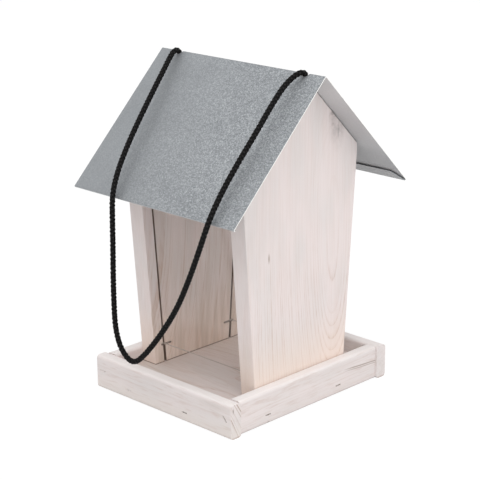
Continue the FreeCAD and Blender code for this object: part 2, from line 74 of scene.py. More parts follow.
# Cord: a limp 4 mm braid of black polyester, six strands round. It comes up out of one ridge
# hole, runs down just off the front slope, hangs in a bight before the tray and goes back into
# the other hole. Under the roof each end turns through the panel's bore and ends in a knot.
CORD_RADIUS = 0.002
STRANDS_EACH_WAY = 3
BRAID_PITCH = 0.0030
BRAID_RELIEF = 0.0008
BRAID_TWIST = 0.060
CORD_STEP = 0.00028
CORD_SIDES = 34
CORD_CROWN_HIGHLIGHT = "#2A2828"
CORD_GAP_SHADE = "#020202"
CROWN_SHARPNESS = 5.0
YARNS_PER_METRE = 2600.0
YARN_TONE = 0.35
YARN_DARKEST = -0.17
YARN_BUMP = 0.35
YARN_HEIGHT = 0.0002
LOOP_ROUTE = [
    (-0.0668, 0, 0.2546), (-0.0668, 0, 0.2588), (-0.0666, -0.0029, 0.2612),
    (-0.0662, -0.0071, 0.2607), (-0.0653, -0.0119, 0.2569), (-0.0619, -0.022, 0.2486),
    (-0.058, -0.0358, 0.2367), (-0.0536, -0.0542, 0.2189), (-0.0498, -0.0714, 0.2006),
    (-0.0442, -0.0875, 0.1834), (-0.0378, -0.0991, 0.1683), (-0.035, -0.102, 0.15),
    (-0.033, -0.104, 0.1295), (-0.032, -0.1055, 0.108), (-0.031, -0.1065, 0.086),
    (-0.029, -0.1075, 0.0655), (-0.0215, -0.1085, 0.0505), (-0.008, -0.109, 0.0435),
    (0.0055, -0.109, 0.0545), (0.025, -0.1085, 0.0775), (0.041, -0.108, 0.1005),
    (0.052, -0.1065, 0.124), (0.0605, -0.104, 0.1475), (0.0652, -0.0987, 0.1693),
    (0.0628, -0.0838, 0.1858), (0.0629, -0.0674, 0.2042), (0.064, -0.0497, 0.2236),
    (0.0634, -0.0331, 0.2407), (0.0628, -0.0205, 0.2517), (0.063, -0.0124, 0.2569),
    (0.0654, -0.0071, 0.2607), (0.0667, -0.0029, 0.2612), (0.0668, 0, 0.2588),
    (0.0668, 0, 0.2546),
]


def linear(code):
    """An sRGB hex colour as the linear colour that a shader takes."""
    parts = np.array([int(code[place:place + 2], 16) for place in (1, 3, 5)]) / 255
    straight = np.where(parts <= 0.04045, parts / 12.92, ((parts + 0.055) / 1.055) ** 2.4)
    return (*straight, 1.0)


def add(tree, kind, inputs=None, **settings):
    """One node with its settings. Each input is given a value, or a socket to be linked from."""
    made = tree.nodes.new("ShaderNode" + kind)
    for name, value in settings.items():
        setattr(made, name, value)
    for place, value in (inputs or {}).items():
        if isinstance(value, bpy.types.NodeSocket):
            tree.links.new(value, made.inputs[place])
        else:
            made.inputs[place].default_value = value
    return made


def even_line(route):
    """Points at even steps along the smooth line that a limp cord takes through its route, and
    how far along it each of them is."""
    curve = bpy.data.curves.new("route", "CURVE")
    curve.dimensions = "3D"
    spline = curve.splines.new("NURBS")
    spline.points.add(len(route) - 1)
    spline.points.foreach_set("co", [value for point in route for value in (*point, 1.0)])
    spline.order_u = 3
    spline.use_endpoint_u = True
    spline.resolution_u = 24
    holder = bpy.data.objects.new("route", curve)
    drawn = bpy.data.meshes.new_from_object(holder)
    line = np.empty(3 * len(drawn.vertices))
    drawn.vertices.foreach_get("co", line)
    line = line.reshape(-1, 3)
    bpy.data.objects.remove(holder)
    bpy.data.curves.remove(curve)
    bpy.data.meshes.remove(drawn)
    run = np.append(0, np.cumsum(np.linalg.norm(np.diff(line, axis=0), axis=1)))
    even = np.linspace(0, run[-1], round(run[-1] / CORD_STEP) + 1)
    return np.stack([np.interp(even, run, line[:, axis]) for axis in range(3)], axis=1), even


def across_line(line):
    """Two unit vectors across each point of the line, carried along it without twist.

    The first may start in any direction off the line. Each next one is the one before it, less
    its share along the line.
    """
    ahead = np.gradient(line, axis=0)
    ahead /= np.linalg.norm(ahead, axis=1, keepdims=True)
    side = np.empty_like(line)
    side[0] = np.cross(ahead[0], (0.3, 1.0, 0.2))
    for place in range(len(line)):
        carried = side[max(place - 1, 0)]
        carried = carried - ahead[place] * (carried @ ahead[place])
        side[place] = carried / np.linalg.norm(carried)
    return side, np.cross(ahead, side)


def braided_cord(name, route):
    """Round braid along a route, and the line that it follows.

    As many strands wind to the right as to the left, each a band one unit wide in its own turned
    coordinate. A strand's height is the cosine of the way across it, plus or minus the cosine of
    the way along it, so that it goes over one crossing strand and under the next. The surface is
    the higher of the two strands at each place. The whole braid turns a little as it goes.
    """
    line, run = even_line(route)
    side, other = across_line(line)
    turn = np.linspace(0, 2 * np.pi, CORD_SIDES, endpoint=False)
    winding = STRANDS_EACH_WAY * (turn[None, :] / (2 * np.pi) + run[:, None] / BRAID_TWIST)
    travel = run[:, None] / BRAID_PITCH
    right, left = winding + travel, winding - travel
    right_middle, left_middle = np.round(right), np.round(left)
    right_strand = (0.5 * np.cos(np.pi * (right - right_middle))
                    + 0.5 * np.cos(np.pi * (left + right_middle)))
    left_strand = (0.5 * np.cos(np.pi * (left - left_middle))
                   - 0.5 * np.cos(np.pi * (right + left_middle)))
    height = np.clip(np.maximum(right_strand, left_strand), 0, 1)
    radius = CORD_RADIUS + BRAID_RELIEF * (height - height.mean())
    rings = (line[:, None, :] + radius[:, :, None]
             * (np.cos(turn)[None, :, None] * side[:, None, :]
                + np.sin(turn)[None, :, None] * other[:, None, :]))
    first = np.arange(len(line) - 1)[:, None] * CORD_SIDES
    ring = np.arange(CORD_SIDES)[None, :]
    after = (ring + 1) % CORD_SIDES
    faces = np.stack([first + ring, first + after, first + CORD_SIDES + after,
                      first + CORD_SIDES + ring], axis=-1).reshape(-1, 4)
    caps = [tuple(range(CORD_SIDES))[::-1],
            tuple(range((len(line) - 1) * CORD_SIDES, len(line) * CORD_SIDES))]
    mesh = bpy.data.meshes.new(name)
    mesh.from_pydata(rings.reshape(-1, 3), [], faces.tolist() + caps)
    mesh.attributes.new("height", "FLOAT", "POINT").data.foreach_set(
        "value", height.reshape(-1).astype(np.float32))
    mesh.polygons.foreach_set("use_smooth", np.ones(len(mesh.polygons), bool))
    mesh.update()
    cord = bpy.data.objects.new(name, mesh)
    scene.collection.objects.link(cord)
    cord.data.materials.append(cord_black)
    return cord, line


def black_polyester():
    """Spun yarn, dyed black right through: it gives back hardly any light. The gaps between the
    strands are painted darker as painted shade, and the strands' crowns paler as a painted
    highlight."""
    material = bpy.data.materials.new("black_polyester_braid")
    material.use_nodes = True
    tree = material.node_tree
    shader = tree.nodes["Principled BSDF"]
    height = add(tree, "Attribute", attribute_name="height").outputs["Fac"]
    place = add(tree, "TexCoord").outputs["Object"]
    yarn = add(tree, "TexNoise", {"Vector": place, "Scale": YARNS_PER_METRE, "Detail": 2.0})
    strength = add(tree, "Math", {0: yarn.outputs["Fac"], 1: YARN_TONE, 2: YARN_DARKEST},
                   operation="MULTIPLY_ADD")
    # Painted highlight on the strands' crowns, painted shade in the gaps between them.
    crown_highlight = add(tree, "Math", {0: height, 1: CROWN_SHARPNESS}, operation="POWER")
    tone = add(tree, "Math", {0: crown_highlight.outputs[0], 1: strength.outputs[0]}, operation="ADD",
               use_clamp=True)
    colour = add(tree, "Mix", {0: tone.outputs[0], 6: linear(CORD_GAP_SHADE),
                               7: linear(CORD_CROWN_HIGHLIGHT)}, data_type="RGBA")
    bump = add(tree, "Bump", {"Height": yarn.outputs["Fac"], "Strength": YARN_BUMP,
                              "Distance": YARN_HEIGHT})
    tree.links.new(colour.outputs[2], shader.inputs["Base Color"])
    tree.links.new(bump.outputs[0], shader.inputs["Normal"])
    shader.inputs["Roughness"].default_value = 0.7
    shader.inputs["IOR"].default_value = 1.55
    shader.inputs["Specular IOR Level"].default_value = 0.1
    return material


cord_black = black_polyester()
loop, loop_line = braided_cord("cord_bight", LOOP_ROUTE)
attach(loop, "roof")
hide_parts("cord_loop")

# The cord's ends: each goes straight down from its ridge hole and turns into the bore.
BORE_HEIGHT = 0.2414
HOLE_PLACE = 0.0668
TURN_TOP = 0.2466
BORE_MOUTH = 0.0615
BORE_END = 0.0471
top = LOOP_ROUTE[0][2]
for side, hand in (("left", -1), ("right", 1)):
    end = braided_cord(f"{side}_cord_under_roof", [
        (hand * HOLE_PLACE, 0, top), (hand * HOLE_PLACE, 0, TURN_TOP),
        (hand * HOLE_PLACE, 0, BORE_HEIGHT), (hand * BORE_MOUTH, 0, BORE_HEIGHT),
        (hand * BORE_END, 0, BORE_HEIGHT)])[0]
    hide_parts(f"{side}_cord_end")
    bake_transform(end)

# Stopper knots: a tight overhand knot in each cord end, on the panel's inner face. The cord goes
# forward, once round itself and out under its own turn. The points give the way in from the
# face, the way to the back and the way up, in metres.
PANEL_FACE = 0.0481
KNOT_ROUTE = [
    (0.0004, 0, 0), (0.0018, 0, 0), (0.0042, -0.0006, 0.0002), (0.0074, -0.0022, 0.0006),
    (0.0086, -0.0002, 0.0036), (0.0066, 0.0038, 0.0032), (0.0044, 0.0044, -0.0008),
    (0.0030, 0.0018, -0.0044), (0.0026, -0.0026, -0.0040), (0.0034, -0.0046, 0.0002),
    (0.0046, -0.0030, 0.0040), (0.0056, 0.0008, 0.0046), (0.0068, 0.0030, 0.0014),
    (0.0082, 0.0012, -0.0014), (0.0100, -0.0004, -0.0016), (0.0120, -0.0006, -0.0012),
]

for side, hand in (("left", -1), ("right", 1)):
    knot = braided_cord(f"{side}_overhand_knot", [
        (hand * (PANEL_FACE - inwards), backwards, BORE_HEIGHT + up)
        for inwards, backwards, up in KNOT_ROUTE])[0]
    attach(knot, "house")
    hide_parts(f"{side}_knot")

# Whitewashed spruce: planed boards with one thin coat of white, rubbed in, so that the growth
# rings and the fibres still show through it as pale pinkish lines. Matt, a little raised where
# the hard late wood stands up. The figure is cut from a log round each board's own heart.
WASH = "#E9DEDC"
WASH_GREY = "#E3DBD9"
LATE_WOOD = "#BC9C88"
END_LATE_WOOD = "#946F4C"
BARE_WOOD = "#E2CDBB"
DARK_WOOD = "#76604F"
MISSED_WOOD = "#C6ADA2"
COAT_BASE = 0.03
FIBRE_STRENGTH = 0.28
CLOUD_STRENGTH = 0.22
SEASONS_PER_METRE = 140.0
YEARS_PER_METRE = 230.0
RING_UNEVENNESS = 2.2
EARLY_SHARE = 0.08
LATE_SHARES = ((0.50, 0.0), (0.80, 0.40), (0.92, 1.0))
LATE_RELIEF = 0.4
WOOD_BUMP = 0.2
WOOD_HEIGHT = 0.0002
# Width across the fibres and length along them of each pattern in the wood, in metres.
RING_WANDER = (0.045, 0.2)
RING_BREAK = (0.0018, 0.013)
FIBRE = (0.0011, 0.045)
BRUSH_STREAK = (0.0040, 0.09)
CLOUD = (0.016, 0.06)
GREY_PATCH = (0.022, 0.07)
MISSED_STREAK = (0.0020, 0.016)


def lines_along(tree, turned, size, detail):
    """Noise drawn out along the fibres: size is its width across them and length along them.

    It lies round 0.5, mostly from 0.3 to 0.7, and each pattern takes its own cut of that.
    """
    width, length = size
    drawn = add(tree, "Mapping", {"Vector": turned, "Scale": (1 / width, 1 / width, 1 / length)})
    noise = add(tree, "TexNoise", {"Vector": drawn.outputs[0], "Scale": 1.0, "Detail": detail})
    return noise.outputs["Fac"]


def whitewashed_spruce(name, grain, heart, figure, ring=0.0024, lean=0.0, bow=(0.0, 0.0),
                       swirl=0.005, brush=0.16, bare=0.0, missed=0.0, end_figure=0.4):
    """One board's wood. Its node named rings holds how strongly the rings show along the board.

    grain is the axis along the fibres, and heart the place of the log's heart on the two axes
    that follow it in turn, in metres. The heart leans, and bows by bow[1] times the squared
    distance from bow[0]. ring is the growth ring's width and swirl how far the rings wander.
    figure, end_figure and brush are the strengths of the rings along the board and on its ends
    and of the brush marks in the coat, bare is how much of the coat is worn off, and missed how
    plain the short streaks are that the brush went over too lightly.
    """
    material = bpy.data.materials.new(f"whitewashed_spruce_{name}")
    material.use_nodes = True
    tree = material.node_tree
    shader = tree.nodes["Principled BSDF"]
    coordinates = add(tree, "TexCoord")
    axes = add(tree, "SeparateXYZ", {0: coordinates.outputs["Object"]})
    across, through = {"X": "YZ", "Y": "ZX", "Z": "XY"}[grain]
    turned = add(tree, "CombineXYZ", {0: axes.outputs[across], 1: axes.outputs[through],
                                      2: axes.outputs[grain]}).outputs[0]

    # Growth rings: each point's distance from the log's heart, counted in rings.
    past = add(tree, "Math", {0: axes.outputs[grain], 1: bow[0]}, operation="SUBTRACT")
    bowed = add(tree, "Math", {0: past.outputs[0], 1: past.outputs[0]}, operation="MULTIPLY")
    middle = add(tree, "Math", {0: bowed.outputs[0], 1: bow[1], 2: heart[0]},
                 operation="MULTIPLY_ADD")
    middle = add(tree, "Math", {0: axes.outputs[grain], 1: lean, 2: middle.outputs[0]},
                 operation="MULTIPLY_ADD")
    heart_line = add(tree, "CombineXYZ", {0: middle.outputs[0], 1: heart[1],
                                          2: axes.outputs[grain]})
    radius = add(tree, "VectorMath", {0: turned, 1: heart_line.outputs[0]},
                 operation="DISTANCE")
    wander = lines_along(tree, turned, RING_WANDER, 1.5)
    moved = add(tree, "Math", {0: wander, 1: swirl, 2: radius.outputs["Value"]},
                operation="MULTIPLY_ADD")
    season = add(tree, "TexNoise", {"W": moved.outputs[0], "Scale": SEASONS_PER_METRE,
                                    "Detail": 1.0}, noise_dimensions="1D")
    uneven = add(tree, "Math", {0: season.outputs["Fac"], 1: ring * RING_UNEVENNESS,
                                2: moved.outputs[0]}, operation="MULTIPLY_ADD")
    count = add(tree, "Math", {0: uneven.outputs[0], 1: ring}, operation="DIVIDE")
    part = add(tree, "Math", {0: count.outputs[0]}, operation="FRACT")

    # Late wood: the dark end of each ring, plainer in some years and broken by the planing.
    late = add(tree, "ValToRGB", {0: part.outputs[0]})
    years = add(tree, "TexNoise", {"W": moved.outputs[0], "Scale": YEARS_PER_METRE,
                                   "Detail": 2.0}, noise_dimensions="1D")
    worth = add(tree, "MapRange", {0: years.outputs["Fac"], 1: 0.35, 2: 0.65, 3: 0.35, 4: 1.35})
    for stop in late.color_ramp.elements:
        stop.color = (EARLY_SHARE, EARLY_SHARE, EARLY_SHARE, 1)
    for position, value in LATE_SHARES:
        late.color_ramp.elements.new(position).color = (value, value, value, 1)
    whole = add(tree, "Math", {0: late.outputs[0], 1: worth.outputs[0]}, operation="MULTIPLY")
    taken = add(tree, "MapRange", {0: lines_along(tree, turned, RING_BREAK, 2.0),
                                   1: 0.36, 2: 0.60, 3: 0.30, 4: 1.20})
    late = add(tree, "Math", {0: whole.outputs[0], 1: taken.outputs[0]}, operation="MULTIPLY")

    # Coat: fibres, brush streaks and clouds in the white, and the rings under it, on the board's
    # long faces and on its ends.
    fibre = lines_along(tree, turned, FIBRE, 3.0)
    streak = lines_along(tree, turned, BRUSH_STREAK, 3.0)
    cloud = lines_along(tree, turned, CLOUD, 4.0)
    end_cut = add(tree, "SeparateXYZ", {0: coordinates.outputs["Normal"]})
    facing = add(tree, "Math", {0: end_cut.outputs[grain]}, operation="ABSOLUTE")
    end_share = add(tree, "MapRange", {0: facing.outputs[0], 1: 0.75, 2: 0.95}).outputs[0]
    base = COAT_BASE - 0.5 * (FIBRE_STRENGTH + brush + CLOUD_STRENGTH)
    shown = add(tree, "Math", {0: late.outputs[0], 1: figure, 2: base},
                operation="MULTIPLY_ADD", name="rings")
    for noise, strength in ((fibre, FIBRE_STRENGTH), (streak, brush), (cloud, CLOUD_STRENGTH)):
        shown = add(tree, "Math", {0: noise, 1: strength, 2: shown.outputs[0]},
                    operation="MULTIPLY_ADD", use_clamp=noise is cloud)
    narrower = add(tree, "Math", {0: whole.outputs[0], 1: 2.0}, operation="POWER")
    end_shown = add(tree, "Math", {0: narrower.outputs[0], 1: end_figure, 2: shown.outputs[0]},
                    operation="MULTIPLY_ADD", use_clamp=True)

    # Colours, from the coat down to the wood that shows through it.
    patch = add(tree, "MapRange", {0: lines_along(tree, turned, GREY_PATCH, 2.0),
                                   1: 0.4, 2: 0.6}).outputs[0]
    coat = add(tree, "Mix", {0: patch, 6: linear(WASH), 7: linear(WASH_GREY)},
               data_type="RGBA").outputs[2]
    coat = add(tree, "Mix", {0: bare, 6: coat, 7: linear(BARE_WOOD)},
               data_type="RGBA").outputs[2]
    long_cut = add(tree, "Mix", {0: shown.outputs[0], 6: coat, 7: linear(LATE_WOOD)},
                   data_type="RGBA").outputs[2]
    short_cut = add(tree, "Mix", {0: end_shown.outputs[0], 6: coat, 7: linear(END_LATE_WOOD)},
                    data_type="RGBA").outputs[2]
    light = add(tree, "MapRange", {0: lines_along(tree, turned, MISSED_STREAK, 3.0),
                                   1: 0.54, 2: 0.68, 3: 0.0, 4: missed})
    long_cut = add(tree, "Mix", {0: light.outputs[0], 6: long_cut, 7: linear(MISSED_WOOD)},
                   data_type="RGBA").outputs[2]
    colour = add(tree, "Mix", {0: end_share, 6: long_cut, 7: short_cut}, data_type="RGBA")
    relief = add(tree, "Math", {0: late.outputs[0], 1: LATE_RELIEF, 2: fibre},
                 operation="MULTIPLY_ADD")
    bump = add(tree, "Bump", {"Height": relief.outputs[0], "Strength": WOOD_BUMP,
                              "Distance": WOOD_HEIGHT})
    tree.links.new(colour.outputs[2], shader.inputs["Base Color"])
    tree.links.new(bump.outputs[0], shader.inputs["Normal"])
    shader.inputs["Roughness"].default_value = 0.78
    shader.inputs["IOR"].default_value = 1.45
    return material


# Tray: a floor board with its grain across, and four rails stapled round it. The floor has a
# swirl where a branch sat near by. Its front is painted tan, partly the wood's warmer tone and
# partly painted shade, and its back paler as painted light. The rails are cut from plainer wood,
# with a dark streak or two. Their tops are painted paler as painted light from above, and their
# lowest edge brown, partly bare wood and partly painted shade where they meet the floor.
STREAK_BROWN = "#8E7564"
EDGE_BROWN_SHADE = "#AD9689"
RAIL_GREY = "#CFC3BE"
RAIL_CREAM = "#E8DED6"
RAIL_COAT = "#E2DEDD"
RAIL_TOP_LIGHT = "#F6F1EF"
FLOOR_TAN_SHADE = "#BCAEA2"
FLOOR_PALE_LIGHT = "#F6EBE2"
RAIL_COAT_SHARE = 0.25
RAIL_TOP_LIGHT_SHARE = 0.6
RAIL_EDGE_SHADE_SHARE = 0.6
FLOOR_TAN_SHADE_SHARE = 0.36
FLOOR_PALE_LIGHT_SHARE = 0.40
WANDERS_PER_METRE = 45.0
# Marks on the rails: the middle of each and how far it reaches, in metres. The streaks give their
# height, their width and how dark they are.
GREY_PATCH_AT = ((0.058, -0.0883, 0.0225), (0.026, 0.004, 0.0035))
SPLIT_AT = ((0.0750, -0.0858, 0.0225), (0.003, 0.0008, 0.0032))
CHIP_AT = ((0.0738, -0.0469, 0.0014), (0.003, 0.0024, 0.0011))
STREAKS = ((0.0209, 0.0005, 0.9), (0.0194, 0.0004, 0.65))
STREAK_ENDS = (0.038, 0.088)
STREAK_SLOPE = -0.07
STREAK_WANDER = 0.0010


def near(tree, place, middle, reach):
    """1 at a middle point and 0 outside an ellipsoid round it that reaches so far on each axis."""
    moved = add(tree, "VectorMath", {0: place, 1: middle}, operation="SUBTRACT")
    scaled = add(tree, "VectorMath", {0: moved.outputs[0], 1: [1 / size for size in reach]},
                 operation="MULTIPLY")
    apart = add(tree, "VectorMath", {0: scaled.outputs[0]}, operation="LENGTH")
    return add(tree, "MapRange", {0: apart.outputs["Value"], 1: 1.0, 2: 0.0},
               interpolation_type="SMOOTHSTEP").outputs[0]


def scratch(tree, place, along, across, ends, line, slope, width, wander):
    """1 on a thin dark line in the wood, and 0 off it.

    The line is where the across axis equals line + slope times the along axis, give or take half
    the wander. It is full up to 0.4 of its width from there and gone at 1.4 of it, and it fades
    out over the outer half of the way to each end.
    """
    axes = add(tree, "SeparateXYZ", {0: place})
    noise = add(tree, "TexNoise", {"Vector": place, "Scale": WANDERS_PER_METRE})
    middle = add(tree, "Math", {0: noise.outputs["Fac"], 1: wander, 2: line - wander / 2},
                 operation="MULTIPLY_ADD")
    middle = add(tree, "Math", {0: axes.outputs[along], 1: slope, 2: middle.outputs[0]},
                 operation="MULTIPLY_ADD")
    off = add(tree, "Math", {0: axes.outputs[across], 1: middle.outputs[0]},
              operation="SUBTRACT")
    off = add(tree, "Math", {0: off.outputs[0]}, operation="ABSOLUTE")
    on_line = add(tree, "MapRange", {0: off.outputs[0], 1: 1.4 * width, 2: 0.4 * width})
    half = (ends[1] - ends[0]) / 2
    out = add(tree, "Math", {0: axes.outputs[along], 1: (ends[0] + ends[1]) / 2},
              operation="SUBTRACT")
    out = add(tree, "Math", {0: out.outputs[0]}, operation="ABSOLUTE")
    fade = add(tree, "MapRange", {0: out.outputs[0], 1: half, 2: half * 0.5})
    return add(tree, "Math", {0: on_line.outputs[0], 1: fade.outputs[0]},
               operation="MULTIPLY").outputs[0]


def stained(material, share, colour):
    """Lays one more colour over a wood, as far as the share socket or number says."""
    tree = material.node_tree
    base = tree.nodes["Principled BSDF"].inputs["Base Color"]
    laid = add(tree, "Mix", {0: share, 6: base.links[0].from_socket, 7: linear(colour)},
               data_type="RGBA")
    tree.links.new(laid.outputs[2], base)
    return material


def dress(node, material):
    """Gives a piece of the CAD its material."""
    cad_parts[node].material_slots[0].material = material


floor_wood = whitewashed_spruce("floor", "X", (-0.030, -0.040), lean=0.10, swirl=0.024,
                                figure=0.42, bare=0.08, missed=0.2)
tree = floor_wood.node_tree
axes = add(tree, "SeparateXYZ", {0: add(tree, "TexCoord").outputs["Object"]})
# Painted shade, with some of the wood's warmer tone: tan over the front, most at the left.
front = add(tree, "MapRange", {0: axes.outputs["Y"], 1: 0.005, 2: -0.040, 3: 0.0,
                               4: FLOOR_TAN_SHADE_SHARE}, interpolation_type="SMOOTHSTEP")
left = add(tree, "MapRange", {0: axes.outputs["X"], 1: 0.020, 2: -0.035, 3: 0.15, 4: 1.0})
front = add(tree, "Math", {0: front.outputs[0], 1: left.outputs[0]}, operation="MULTIPLY")
stained(floor_wood, front.outputs[0], FLOOR_TAN_SHADE)
# Painted light: paler over the back of the floor.
back = add(tree, "MapRange", {0: axes.outputs["Y"], 1: -0.010, 2: 0.022, 3: 0.0,
                              4: FLOOR_PALE_LIGHT_SHARE}, interpolation_type="SMOOTHSTEP")
dress("floor_board", stained(floor_wood, back.outputs[0], FLOOR_PALE_LIGHT))

front_wood = whitewashed_spruce("front_rail", "X", (-0.191, -0.038), ring=0.0032, lean=0.01,
                                swirl=0.006, figure=0.16, brush=0.30, missed=0.45,
                                end_figure=1.0)
tree = front_wood.node_tree
place = add(tree, "TexCoord").outputs["Object"]
height = add(tree, "SeparateXYZ", {0: place}).outputs["Z"]
low = add(tree, "MapRange", {0: height, 1: 0.014, 2: 0.004, 3: 0.0, 4: 0.5})
stained(front_wood, low.outputs[0], RAIL_CREAM)
grey = near(tree, place, *GREY_PATCH_AT)
grey = add(tree, "Math", {0: grey, 1: 0.6}, operation="MULTIPLY")
stained(front_wood, grey.outputs[0], RAIL_GREY)
split = near(tree, place, *SPLIT_AT)
stained(front_wood, split, DARK_WOOD)
dress("front_rail", front_wood)
dress("back_rail", whitewashed_spruce("back_rail", "X", (0.050, 0.060), lean=0.03,
                                      figure=0.10, brush=0.30, missed=0.3,
                                      end_figure=0.05))
dress("left_rail", whitewashed_spruce("left_rail", "Y", (-0.035, -0.050), lean=0.02,
                                      figure=0.10, brush=0.30, missed=0.3))
side_wood = whitewashed_spruce("right_rail", "Y", (0.075, 0.030), lean=0.02, swirl=0.010,
                               figure=0.22, brush=0.26, missed=0.40)
tree = side_wood.node_tree
place = add(tree, "TexCoord").outputs["Object"]
for line, width, share in STREAKS:
    streak = scratch(tree, place, "Y", "Z", STREAK_ENDS, line, STREAK_SLOPE, width,
                     STREAK_WANDER)
    streak = add(tree, "Math", {0: streak, 1: share}, operation="MULTIPLY")
    stained(side_wood, streak.outputs[0], STREAK_BROWN)
chip = near(tree, place, *CHIP_AT)
stained(side_wood, chip, DARK_WOOD)
dress("right_rail", side_wood)
for side in ("front", "back", "left", "right"):
    rail_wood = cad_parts[f"{side}_rail"].material_slots[0].material
    stained(rail_wood, RAIL_COAT_SHARE, RAIL_COAT)
    tree = rail_wood.node_tree
    coordinates = add(tree, "TexCoord")
    height = add(tree, "SeparateXYZ", {0: coordinates.outputs["Object"]}).outputs["Z"]
    # Painted shade, with bare wood: brown along the lowest 1.5 mm of each rail, where it meets the
    # floor.
    edge = add(tree, "MapRange", {0: height, 1: 0.0015, 2: 0.0004, 3: 0.0,
                                  4: RAIL_EDGE_SHADE_SHARE})
    stained(rail_wood, edge.outputs[0], EDGE_BROWN_SHADE)
    # Painted light: the upward faces are painted paler, as if lit from above.
    upwards = add(tree, "SeparateXYZ", {0: coordinates.outputs["Normal"]}).outputs["Z"]
    painted_top_light = add(tree, "MapRange", {0: upwards, 1: 0.4, 2: 0.98, 3: 0.0, 4: RAIL_TOP_LIGHT_SHARE})
    stained(rail_wood, painted_top_light.outputs[0], RAIL_TOP_LIGHT)

# Side panels: planed boards with the grain upright, sawn to a taper and a gable. More of the
# grain shows on their inner faces. The grooves are painted dark, partly bare sawn wood and partly
# painted shade, the foot took less white, and a dark line of painted shade runs along the seam
# where it meets the floor.
FACE_SLACK = 0.0002
INNER_FIGURE = 0.62
NARROW_FIGURE = 0.3
GROOVE_DEPTH = 0.0045
GROOVE_REACH = 0.0014
GROOVE_SLOPE = 0.0774
FRONT_GROOVE_AT_ZERO = -0.0381
BACK_GROOVE_AT_ZERO = 0.0334
FLOOR_TOP = 0.015
SEAM_SHADE_HALF = 0.0007
GROOVE_SEAM_SHADE_SHARE = 0.85
FOOT_SHARE = 0.45
TAN_SHARE = 0.45
TAN_STREAK = (0.0045, 0.06)
# Heights between which the figure fades upwards and the foot's two colours come in, in metres.
FIGURE_BAND = (0.06, 0.16)
FOOT_BAND = (0.075, 0.02)
TAN_BAND = (0.12, 0.035)
FOOT_WARM = "#F4DCC8"
INNER_TAN = "#C6B4A4"
SMUDGE_SHADE_GREY = "#6C6461"
FLECK_BROWN = "#A08C80"
SCUFFS_PER_METRE = 150.0
# Marks on the right panel: the middle of each and how far it reaches, in metres, and for the
# smudges how dark they are. The smudges under the roof's edge are partly a grey smudge and partly
# painted shade from the roof.
FLECK_AT = ((0.0631, -0.0353, 0.1254), (0.002, 0.0011, 0.0058))
SMUDGES_AND_SHADE = [
    ((0.0631, 0.0400, 0.2135), (0.004, 0.0115, 0.0220), 0.45),
    ((0.0631, 0.0350, 0.2215), (0.004, 0.0062, 0.0105), 1.0),
    ((0.0631, 0.0412, 0.2090), (0.004, 0.0016, 0.0070), 0.7),
]


